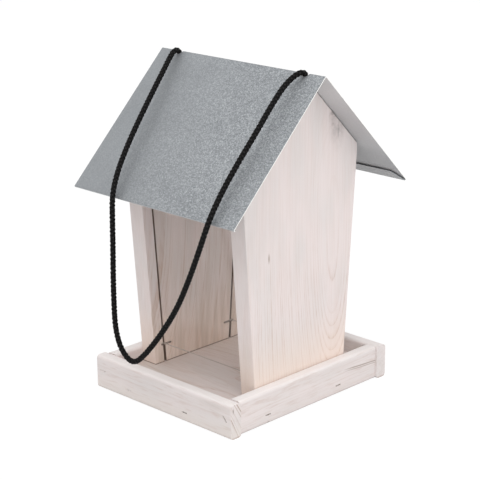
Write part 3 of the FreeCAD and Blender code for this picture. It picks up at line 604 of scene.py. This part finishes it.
def panel_marks(material, top_share):
    """The marks that both panels have.

    Inside, the rings are stronger and tan streaks run up from the floor. The foot is warm. The
    grooves are painted dark, partly bare wood and partly painted shade, and the seam is painted
    dark as painted shade. top_share is how much of the figure still shows through the coat at
    the panel's top.
    """
    tree = material.node_tree
    coordinates = add(tree, "TexCoord")
    place = coordinates.outputs["Object"]
    axes = add(tree, "SeparateXYZ", {0: place})
    out = add(tree, "Math", {0: axes.outputs["X"]}, operation="ABSOLUTE").outputs[0]
    inside = add(tree, "Math", {0: out, 1: PANEL_FACE, 2: FACE_SLACK}, operation="COMPARE")
    rings = tree.nodes["rings"].inputs[1]
    deeper = add(tree, "MapRange", {0: inside.outputs[0], 3: rings.default_value,
                                    4: INNER_FIGURE})
    kept = add(tree, "MapRange", {0: axes.outputs["Z"], 1: FIGURE_BAND[0], 2: FIGURE_BAND[1],
                                  3: 1.0, 4: top_share}, interpolation_type="SMOOTHSTEP")
    fading = add(tree, "Math", {0: deeper.outputs[0], 1: kept.outputs[0]},
                 operation="MULTIPLY")
    facing = add(tree, "SeparateXYZ", {0: coordinates.outputs["Normal"]})
    narrow = add(tree, "Math", {0: facing.outputs["Y"]}, operation="ABSOLUTE")
    narrow = add(tree, "MapRange", {0: narrow.outputs[0], 1: 0.5, 2: 0.9, 3: 1.0,
                                    4: NARROW_FIGURE})
    fading = add(tree, "Math", {0: fading.outputs[0], 1: narrow.outputs[0]},
                 operation="MULTIPLY")
    tree.links.new(fading.outputs[0], rings)
    foot = add(tree, "MapRange", {0: axes.outputs["Z"], 1: FOOT_BAND[0], 2: FOOT_BAND[1],
                                  3: 0.0, 4: FOOT_SHARE}, interpolation_type="SMOOTHSTEP")
    stained(material, foot.outputs[0], FOOT_WARM)
    lower = add(tree, "MapRange", {0: axes.outputs["Z"], 1: TAN_BAND[0], 2: TAN_BAND[1],
                                   3: 0.0, 4: TAN_SHARE})
    lower = add(tree, "Math", {0: lower.outputs[0], 1: inside.outputs[0]}, operation="MULTIPLY")
    streaks = add(tree, "MapRange", {0: lines_along(tree, place, TAN_STREAK, 1.0),
                                     1: 0.40, 2: 0.64})
    lower = add(tree, "Math", {0: lower.outputs[0], 1: streaks.outputs[0]},
                operation="MULTIPLY")
    stained(material, lower.outputs[0], INNER_TAN)
    # Painted shade, with bare wood: the grooves' walls and bottom are painted dark.
    grooves = []
    for slope, start in ((-GROOVE_SLOPE, FRONT_GROOVE_AT_ZERO),
                         (GROOVE_SLOPE, BACK_GROOVE_AT_ZERO)):
        line = add(tree, "Math", {0: axes.outputs["Z"], 1: slope, 2: start},
                   operation="MULTIPLY_ADD")
        grooves.append(add(tree, "Math", {0: axes.outputs["Y"], 1: line.outputs[0],
                                          2: GROOVE_REACH}, operation="COMPARE").outputs[0])
    either = add(tree, "Math", {0: grooves[0], 1: grooves[1]}, operation="MAXIMUM")
    sunk = add(tree, "Math", {0: out, 1: PANEL_FACE + (GROOVE_DEPTH + FACE_SLACK) / 2,
                              2: GROOVE_DEPTH / 2}, operation="COMPARE")
    groove = add(tree, "Math", {0: either.outputs[0], 1: sunk.outputs[0]},
                 operation="MULTIPLY")
    # Painted shade: a dark line along the seam where the panel stands on the floor.
    seam_shade = add(tree, "Math", {0: axes.outputs["Z"], 1: FLOOR_TOP, 2: SEAM_SHADE_HALF},
               operation="COMPARE")
    groove_seam_shade = add(tree, "Math", {0: groove.outputs[0], 1: seam_shade.outputs[0]}, operation="MAXIMUM")
    groove_seam_shade = add(tree, "Math", {0: groove_seam_shade.outputs[0], 1: GROOVE_SEAM_SHADE_SHARE}, operation="MULTIPLY")
    return stained(material, groove_seam_shade.outputs[0], DARK_WOOD)


right_wood = whitewashed_spruce("right_panel", "Z", (0.0788, 0.0363), bow=(0.128, 1.2),
                                swirl=0.010, figure=0.42, brush=0.08)
panel_marks(right_wood, top_share=0.14)
tree = right_wood.node_tree
place = add(tree, "TexCoord").outputs["Object"]
fleck = near(tree, place, *FLECK_AT)
stained(right_wood, fleck, FLECK_BROWN)
scuffs = add(tree, "TexNoise", {"Vector": place, "Scale": SCUFFS_PER_METRE, "Detail": 3.0})
scuffs = add(tree, "MapRange", {0: scuffs.outputs["Fac"], 1: 0.36, 2: 0.60, 3: 0.25, 4: 1.0})
# Partly a smudge, partly painted shade: grey under the roof's edge.
for middle, reach, share in SMUDGES_AND_SHADE:
    smudge_and_shade = near(tree, place, middle, reach)
    smudge_and_shade = add(tree, "Math", {0: smudge_and_shade, 1: scuffs.outputs[0]}, operation="MULTIPLY")
    smudge_and_shade = add(tree, "Math", {0: smudge_and_shade.outputs[0], 1: share}, operation="MULTIPLY")
    stained(right_wood, smudge_and_shade.outputs[0], SMUDGE_SHADE_GREY)
dress("right_side_panel", right_wood)
dress("left_side_panel", panel_marks(whitewashed_spruce(
    "left_panel", "Z", (-0.105, -0.100), ring=0.0040, bow=(0.17, -1.1), swirl=0.006,
    figure=0.25, brush=0.12), top_share=0.3))

# Panes: clear acrylic sheet, 2 mm, sawn and slid into the grooves. Light and shadow pass. The
# sawn edges are matt. The sheet is so clean that it lays hardly any glare over what is behind
# it, so its IOR is set lower than acrylic's 1.49.
PANE_CLEAR = "#FAF8F6"
SAWN_EDGE = "#BDB3AC"
PANE_PASSES = (0.97, 0.965, 0.96, 1)
PANE_IOR = 1.25
BROAD_FACE = 0.8
CLEAR_ROUGHNESS = 0.03
SAWN_ROUGHNESS = 0.7


def clear_acrylic():
    """Cast sheet: glossy and clear on its broad faces, matt and pale on its sawn edges."""
    material = bpy.data.materials.new("clear_acrylic")
    material.use_nodes = True
    tree = material.node_tree
    shader = tree.nodes["Principled BSDF"]
    facing = add(tree, "SeparateXYZ", {0: add(tree, "TexCoord").outputs["Normal"]})
    broad = add(tree, "Math", {0: facing.outputs["Y"]}, operation="ABSOLUTE")
    edge = add(tree, "Math", {0: broad.outputs[0], 1: BROAD_FACE},
               operation="LESS_THAN").outputs[0]
    colour = add(tree, "Mix", {0: edge, 6: linear(PANE_CLEAR), 7: linear(SAWN_EDGE)},
                 data_type="RGBA")
    clear = add(tree, "Math", {0: 1.0, 1: edge}, operation="SUBTRACT")
    rough = add(tree, "MapRange", {0: edge, 3: CLEAR_ROUGHNESS, 4: SAWN_ROUGHNESS})
    tree.links.new(colour.outputs[2], shader.inputs["Base Color"])
    tree.links.new(clear.outputs[0], shader.inputs["Transmission Weight"])
    tree.links.new(rough.outputs[0], shader.inputs["Roughness"])
    shader.inputs["IOR"].default_value = PANE_IOR
    shader.inputs["Specular IOR Level"].default_value = 0.25
    ray = add(tree, "LightPath")
    passing = add(tree, "Math", {0: ray.outputs["Is Shadow Ray"],
                                 1: ray.outputs["Is Diffuse Ray"]}, operation="MAXIMUM")
    through = add(tree, "BsdfTransparent", {0: PANE_PASSES})
    mixed = add(tree, "MixShader", {0: passing.outputs[0], 1: shader.outputs[0],
                                    2: through.outputs[0]})
    tree.links.new(mixed.outputs[0], tree.nodes["Material Output"].inputs["Surface"])
    return material


acrylic = clear_acrylic()
dress("front_pane", acrylic)
dress("back_pane", acrylic)

# Roof: hot-dip galvanised sheet steel, 0.6 mm, with a fine frosted spangle that is clearer to the
# right. It is sheared and folded at the ridge and under the eaves. Its cut ends are painted near
# white as a painted highlight over the bare steel. The underside is plainer, and painted paler,
# partly its own tone and partly painted light, with the most painted light near the ridge.
ZINC = "#999C9F"
ZINC_PALE = "#C0C4C7"
ZINC_DARK = "#7B7F83"
ZINC_UNDER_LIT = "#C6C8CA"
ZINC_UNDER_LIT_RIDGE = "#F0F1F2"
CUT_STEEL_HIGHLIGHT = "#F4F4F2"
SPANGLE = 0.0009
FINE_SPANGLE = 0.0005
CLOUDS_PER_METRE = 28.0
CLOUD_TONE = 0.2
SHEET_TONE = 0.4
SPANGLE_BAND = (-0.07, 0.04)
SPANGLE_STRENGTH = (0.10, 0.52)
UNDER_SPANGLE = 0.1
RIDGE_LIGHT_BAND = (0.185, 0.250)
UNDER_LIT_SHARE = 0.8
ZINC_ROUGHNESS = (0.55, 0.70)


def galvanised_sheet():
    """Zinc crystals of two sizes that each give back the light a little differently, so that the
    sheet looks frosted."""
    material = bpy.data.materials.new("galvanised_sheet_steel")
    material.use_nodes = True
    tree = material.node_tree
    shader = tree.nodes["Principled BSDF"]
    coordinates = add(tree, "TexCoord")
    place = coordinates.outputs["Object"]
    crystals = add(tree, "TexVoronoi", {"Vector": place, "Scale": 1 / SPANGLE})
    tone = add(tree, "SeparateXYZ", {0: crystals.outputs["Color"]})
    fine = add(tree, "TexVoronoi", {"Vector": place, "Scale": 1 / FINE_SPANGLE})
    fine_tone = add(tree, "SeparateXYZ", {0: fine.outputs["Color"]})
    cloud = add(tree, "TexNoise", {"Vector": place, "Scale": CLOUDS_PER_METRE, "Detail": 3.0})
    both = add(tree, "Math", {0: tone.outputs[0], 1: fine_tone.outputs[0]}, operation="ADD")
    axes = add(tree, "SeparateXYZ", {0: place})
    clear = add(tree, "MapRange", {0: axes.outputs["X"], 1: SPANGLE_BAND[0], 2: SPANGLE_BAND[1],
                                   3: SPANGLE_STRENGTH[0], 4: SPANGLE_STRENGTH[1]})
    facing = add(tree, "SeparateXYZ", {0: coordinates.outputs["Normal"]})
    under = add(tree, "Math", {0: facing.outputs["Z"], 1: 0.0}, operation="LESS_THAN")
    strength = add(tree, "Mix", {0: under.outputs[0], 2: clear.outputs[0], 3: UNDER_SPANGLE})
    centred = add(tree, "Math", {0: both.outputs[0], 1: 1.0}, operation="SUBTRACT")
    speckle = add(tree, "Math", {0: centred.outputs[0], 1: strength.outputs[0],
                                 2: SHEET_TONE}, operation="MULTIPLY_ADD")
    speckle = add(tree, "Math", {0: cloud.outputs["Fac"], 1: CLOUD_TONE, 2: speckle.outputs[0]},
                  operation="MULTIPLY_ADD")
    ramp = add(tree, "ValToRGB", {0: speckle.outputs[0]})
    ramp.color_ramp.elements[0].position = 0.0
    ramp.color_ramp.elements[0].color = linear(ZINC_DARK)
    ramp.color_ramp.elements[1].position = 1.0
    ramp.color_ramp.elements[1].color = linear(ZINC_PALE)
    ramp.color_ramp.elements.new(0.5).color = linear(ZINC)
    dull = add(tree, "Math", {0: under.outputs[0], 1: UNDER_LIT_SHARE}, operation="MULTIPLY")
    # Painted light: the underside paler, most of all near the ridge.
    ridge_light = add(tree, "MapRange", {0: axes.outputs["Z"], 1: RIDGE_LIGHT_BAND[0], 2: RIDGE_LIGHT_BAND[1]})
    lit_underside = add(tree, "Mix", {0: ridge_light.outputs[0], 6: linear(ZINC_UNDER_LIT),
                               7: linear(ZINC_UNDER_LIT_RIDGE)}, data_type="RGBA")
    sheet = add(tree, "Mix", {0: dull.outputs[0], 6: ramp.outputs[0], 7: lit_underside.outputs[2]},
                data_type="RGBA")
    end_on = add(tree, "Math", {0: facing.outputs["X"]}, operation="ABSOLUTE")
    # Painted highlight: the sheared ends painted near white over the bare steel.
    cut_highlight = add(tree, "MapRange", {0: end_on.outputs[0], 1: 0.8, 2: 0.95})
    colour = add(tree, "Mix", {0: cut_highlight.outputs[0], 6: sheet.outputs[2], 7: linear(CUT_STEEL_HIGHLIGHT)},
                 data_type="RGBA")
    rough = add(tree, "MapRange", {0: tone.outputs[1], 3: ZINC_ROUGHNESS[0],
                                   4: ZINC_ROUGHNESS[1]})
    tree.links.new(colour.outputs[2], shader.inputs["Base Color"])
    tree.links.new(rough.outputs[0], shader.inputs["Roughness"])
    shader.inputs["Metallic"].default_value = 0.9
    return material


dress("roof_sheet", galvanised_sheet())

# Staples: flat galvanised wire, driven flush into the rails and left a little proud as stops
# under the panes. The wire is dulled by its glue and by the hammer, and the coat went over it:
# some of it stays on the crowns, most of all on the left.
STAPLE_GREY = "#A1968E"
STAPLE_DARK = "#6A5E55"
STAINS_PER_METRE = 700.0
PATCHES_PER_METRE = 420.0
CROWN_COAT = 0.85


def staple_wire(name, coat):
    """Dull flat wire with dark stains. coat is how white the whitewash is where it stays."""
    material = bpy.data.materials.new(name)
    material.use_nodes = True
    tree = material.node_tree
    shader = tree.nodes["Principled BSDF"]
    place = add(tree, "TexCoord").outputs["Object"]
    stain = add(tree, "TexNoise", {"Vector": place, "Scale": STAINS_PER_METRE, "Detail": 3.0})
    spread = add(tree, "MapRange", {0: stain.outputs["Fac"], 1: 0.4, 2: 0.65})
    colour = add(tree, "Mix", {0: spread.outputs[0], 6: linear(STAPLE_GREY),
                               7: linear(STAPLE_DARK)}, data_type="RGBA")
    patches = add(tree, "TexNoise", {"Vector": place, "Scale": PATCHES_PER_METRE, "Detail": 2.0})
    axes = add(tree, "SeparateXYZ", {0: place})
    left = add(tree, "MapRange", {0: axes.outputs["X"], 1: 0.02, 2: -0.03, 3: 0.0, 4: 0.16})
    cover = add(tree, "Math", {0: patches.outputs["Fac"], 1: left.outputs[0]}, operation="ADD")
    cover = add(tree, "MapRange", {0: cover.outputs[0], 1: 0.50, 2: 0.64, 3: 0.0, 4: coat})
    colour = add(tree, "Mix", {0: cover.outputs[0], 6: colour.outputs[2], 7: linear(WASH_GREY)},
                 data_type="RGBA")
    tree.links.new(colour.outputs[2], shader.inputs["Base Color"])
    shader.inputs["Metallic"].default_value = 0.3
    shader.inputs["Roughness"].default_value = 0.5
    return material


coated_wire = staple_wire("whitewashed_staple_wire", CROWN_COAT)
for node in ("front_rail_staples", "back_rail_staples", "left_rail_staples",
             "right_rail_staples", "corner_staples"):
    dress(node, coated_wire)
bare_wire = staple_wire("galvanised_staple_wire", 0.0)
for node in ("front_pane_staples", "back_pane_staples"):
    dress(node, bare_wire)

# Screws: yellow-passivated wood screws with a cross recess, driven flush from below, two into the
# foot of each panel.
SCREW_YELLOW = "#B7A26A"
SCREW_BROWN = "#9C8C66"
SCREW_HEAD = 0.0035
SCREW_PROFILE = [(SCREW_HEAD, 0.0001), (0.0017, 0.0024), (0.0017, 0.0340), (0.0003, 0.0380)]
SCREW_SIDES = 72
FACE_MIDDLE = 0.00005
FACE_EDGE = 0.0001
FACE_RINGS = 42
RECESS_HALF = 0.00055
RECESS_REACH = 0.0021
RECESS_DEPTH = 0.0016
RECESS_WALL = 0.00012
RECESS_END = 0.0002
RECESS_RISE = 0.6
BLOOM_PER_METRE = 300.0


def passivated_steel():
    """Zinc with a yellow passivation: a soft golden gloss with an uneven bloom."""
    material = bpy.data.materials.new("yellow_passivated_steel")
    material.use_nodes = True
    tree = material.node_tree
    shader = tree.nodes["Principled BSDF"]
    place = add(tree, "TexCoord").outputs["Object"]
    bloom = add(tree, "TexNoise", {"Vector": place, "Scale": BLOOM_PER_METRE})
    colour = add(tree, "Mix", {0: bloom.outputs["Fac"], 6: linear(SCREW_YELLOW),
                               7: linear(SCREW_BROWN)}, data_type="RGBA")
    tree.links.new(colour.outputs[2], shader.inputs["Base Color"])
    shader.inputs["Metallic"].default_value = 1.0
    shader.inputs["Roughness"].default_value = 0.35
    return material


def recessed_screws(name, places):
    """Countersunk screws, point upwards, with their faces at the floor board's underside.

    Rings of one profile are turned round each screw's middle. On the face, a point is sunk where
    it lies nearer to one of the cross's two arms than their half width and inside their reach.
    The recess is deepest in the middle and runs out to less than half of that at the arms' ends.
    """
    turn = np.linspace(0, 2 * np.pi, SCREW_SIDES, endpoint=False)
    face_radius = np.linspace(FACE_MIDDLE, SCREW_HEAD - FACE_EDGE, FACE_RINGS)
    radius = np.append(face_radius, [ring[0] for ring in SCREW_PROFILE])
    height = np.append(np.zeros_like(face_radius), [ring[1] for ring in SCREW_PROFILE])
    x, y = radius[:, None] * np.cos(turn), radius[:, None] * np.sin(turn)
    off = np.minimum(abs(x), abs(y))
    along = np.maximum(abs(x), abs(y))
    wall = np.clip((RECESS_HALF - off) / RECESS_WALL + 0.5, 0, 1)
    wall *= np.clip((RECESS_REACH - along) / RECESS_END + 0.5, 0, 1)
    sunk = RECESS_DEPTH * (1 - RECESS_RISE * along / RECESS_REACH) * wall
    z = height[:, None] + np.where(height[:, None] == 0, sunk, 0)
    one = np.stack([x, y, z], axis=-1).reshape(-1, 3)
    first = np.arange(len(radius) - 1)[:, None] * SCREW_SIDES
    ring = np.arange(SCREW_SIDES)[None, :]
    after = (ring + 1) % SCREW_SIDES
    faces = np.stack([first + ring, first + SCREW_SIDES + ring, first + SCREW_SIDES + after,
                      first + after], axis=-1).reshape(-1, 4)
    points, walls = [], []
    for number, place in enumerate(places):
        shift = number * len(one)
        points.append(one + (*place, 0))
        walls += (faces + shift).tolist()
        walls.append([shift + corner for corner in range(SCREW_SIDES)])
        walls.append([shift + len(one) - 1 - corner for corner in range(SCREW_SIDES)])
    mesh = bpy.data.meshes.new(name)
    mesh.from_pydata(np.concatenate(points), [], walls)
    mesh.update()
    screws = bpy.data.objects.new(name, mesh)
    scene.collection.objects.link(screws)
    screws.data.materials.append(yellow_steel)
    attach(screws, "house")
    return screws


SCREW_OUT = 0.0556
SCREW_BACK = 0.022
yellow_steel = passivated_steel()
for side, hand in (("left", -1), ("right", 1)):
    driven = recessed_screws(f"{side}_screws", [(hand * SCREW_OUT, -SCREW_BACK),
                                                (hand * SCREW_OUT, SCREW_BACK)])
    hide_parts(f"{side}_panel_screws")

# Studio: a white sweep with a pale floor, an even white surround, and five wide soft lamps: a
# low one beside the camera, one on the right, one behind the feeder, one high in front and a weak
# one over the roof.
WHITE = (1, 1, 1, 1)
FLOOR_WHITE = "#DCDCDC"
SURROUND_STRENGTH = 0.72
LOW_WATTS = 2.6
RIGHT_WATTS = 4.0
BACK_WATTS = 3.2
FRONT_WATTS = 9.0
TOP_WATTS = 0.3
FLOOR_REACH = 6.0
GLOW_SHARE = 0.82
GLOW_STRENGTH = 1.10


def seen_share(tree):
    """1 for a ray that looks at a surface straight, in a mirror or through glass, else 0."""
    ray = add(tree, "LightPath")
    seen = add(tree, "Math", {0: ray.outputs["Is Camera Ray"],
                              1: ray.outputs["Is Glossy Ray"]}, operation="MAXIMUM")
    seen = add(tree, "Math", {0: seen.outputs[0], 1: ray.outputs["Is Transmission Ray"]},
               operation="MAXIMUM")
    return seen.outputs[0]


world = bpy.data.worlds.new("surround")
world.use_nodes = True
scene.world = world
tree = world.node_tree
plain = tree.nodes["Background"]
plain.inputs["Color"].default_value = WHITE
plain.inputs["Strength"].default_value = SURROUND_STRENGTH
bright = add(tree, "Background", {0: WHITE, 1: 1.0})
both = add(tree, "MixShader", {0: seen_share(tree), 1: plain.outputs[0], 2: bright.outputs[0]})
tree.links.new(both.outputs[0], tree.nodes["World Output"].inputs["Surface"])

floor_mesh = bpy.data.meshes.new("studio_floor")
floor_mesh.from_pydata([(-FLOOR_REACH, -FLOOR_REACH, 0), (FLOOR_REACH, -FLOOR_REACH, 0),
                        (FLOOR_REACH, FLOOR_REACH, 0), (-FLOOR_REACH, FLOOR_REACH, 0)],
                       [], [(0, 1, 2, 3)])
floor = bpy.data.objects.new("studio_floor", floor_mesh)
scene.collection.objects.link(floor)
paper = bpy.data.materials.new("white_paper_sweep")
paper.use_nodes = True
tree = paper.node_tree
shader = tree.nodes["Principled BSDF"]
shader.inputs["Base Color"].default_value = linear(FLOOR_WHITE)
shader.inputs["Roughness"].default_value = 0.9
share = add(tree, "Math", {0: seen_share(tree), 1: GLOW_SHARE}, operation="MULTIPLY")
glow = add(tree, "Emission", {0: WHITE, 1: GLOW_STRENGTH})
both = add(tree, "MixShader", {0: share.outputs[0], 1: shader.outputs[0], 2: glow.outputs[0]})
tree.links.new(both.outputs[0], tree.nodes["Material Output"].inputs["Surface"])
floor_mesh.materials.append(paper)


def soft_lamp(name, place, aim, width, watts):
    """A square lamp at a place, turned towards its aim."""
    data = bpy.data.lights.new(name, "AREA")
    data.shape = "SQUARE"
    data.size = width
    data.energy = watts
    lamp = bpy.data.objects.new(name, data)
    turn = (Vector(aim) - Vector(place)).to_track_quat("-Z", "Y")
    lamp.matrix_world = Matrix.Translation(place) @ turn.to_matrix().to_4x4()
    scene.collection.objects.link(lamp)


soft_lamp("low_lamp", (1.15, -1.05, 0.40), (0, 0, 0.12), 1.2, LOW_WATTS)
soft_lamp("right_lamp", (1.5, -0.2, 1.05), (0, 0, 0.12), 1.2, RIGHT_WATTS)
soft_lamp("back_lamp", (1.1, 1.1, 0.70), (0, 0, 0.12), 1.2, BACK_WATTS)
soft_lamp("front_lamp", (0.3, -0.80, 1.60), (0, 0, 0.1), 1.2, FRONT_WATTS)
soft_lamp("top_lamp", (-0.35, -0.30, 1.0), (0, 0, 0.2), 0.8, TOP_WATTS)
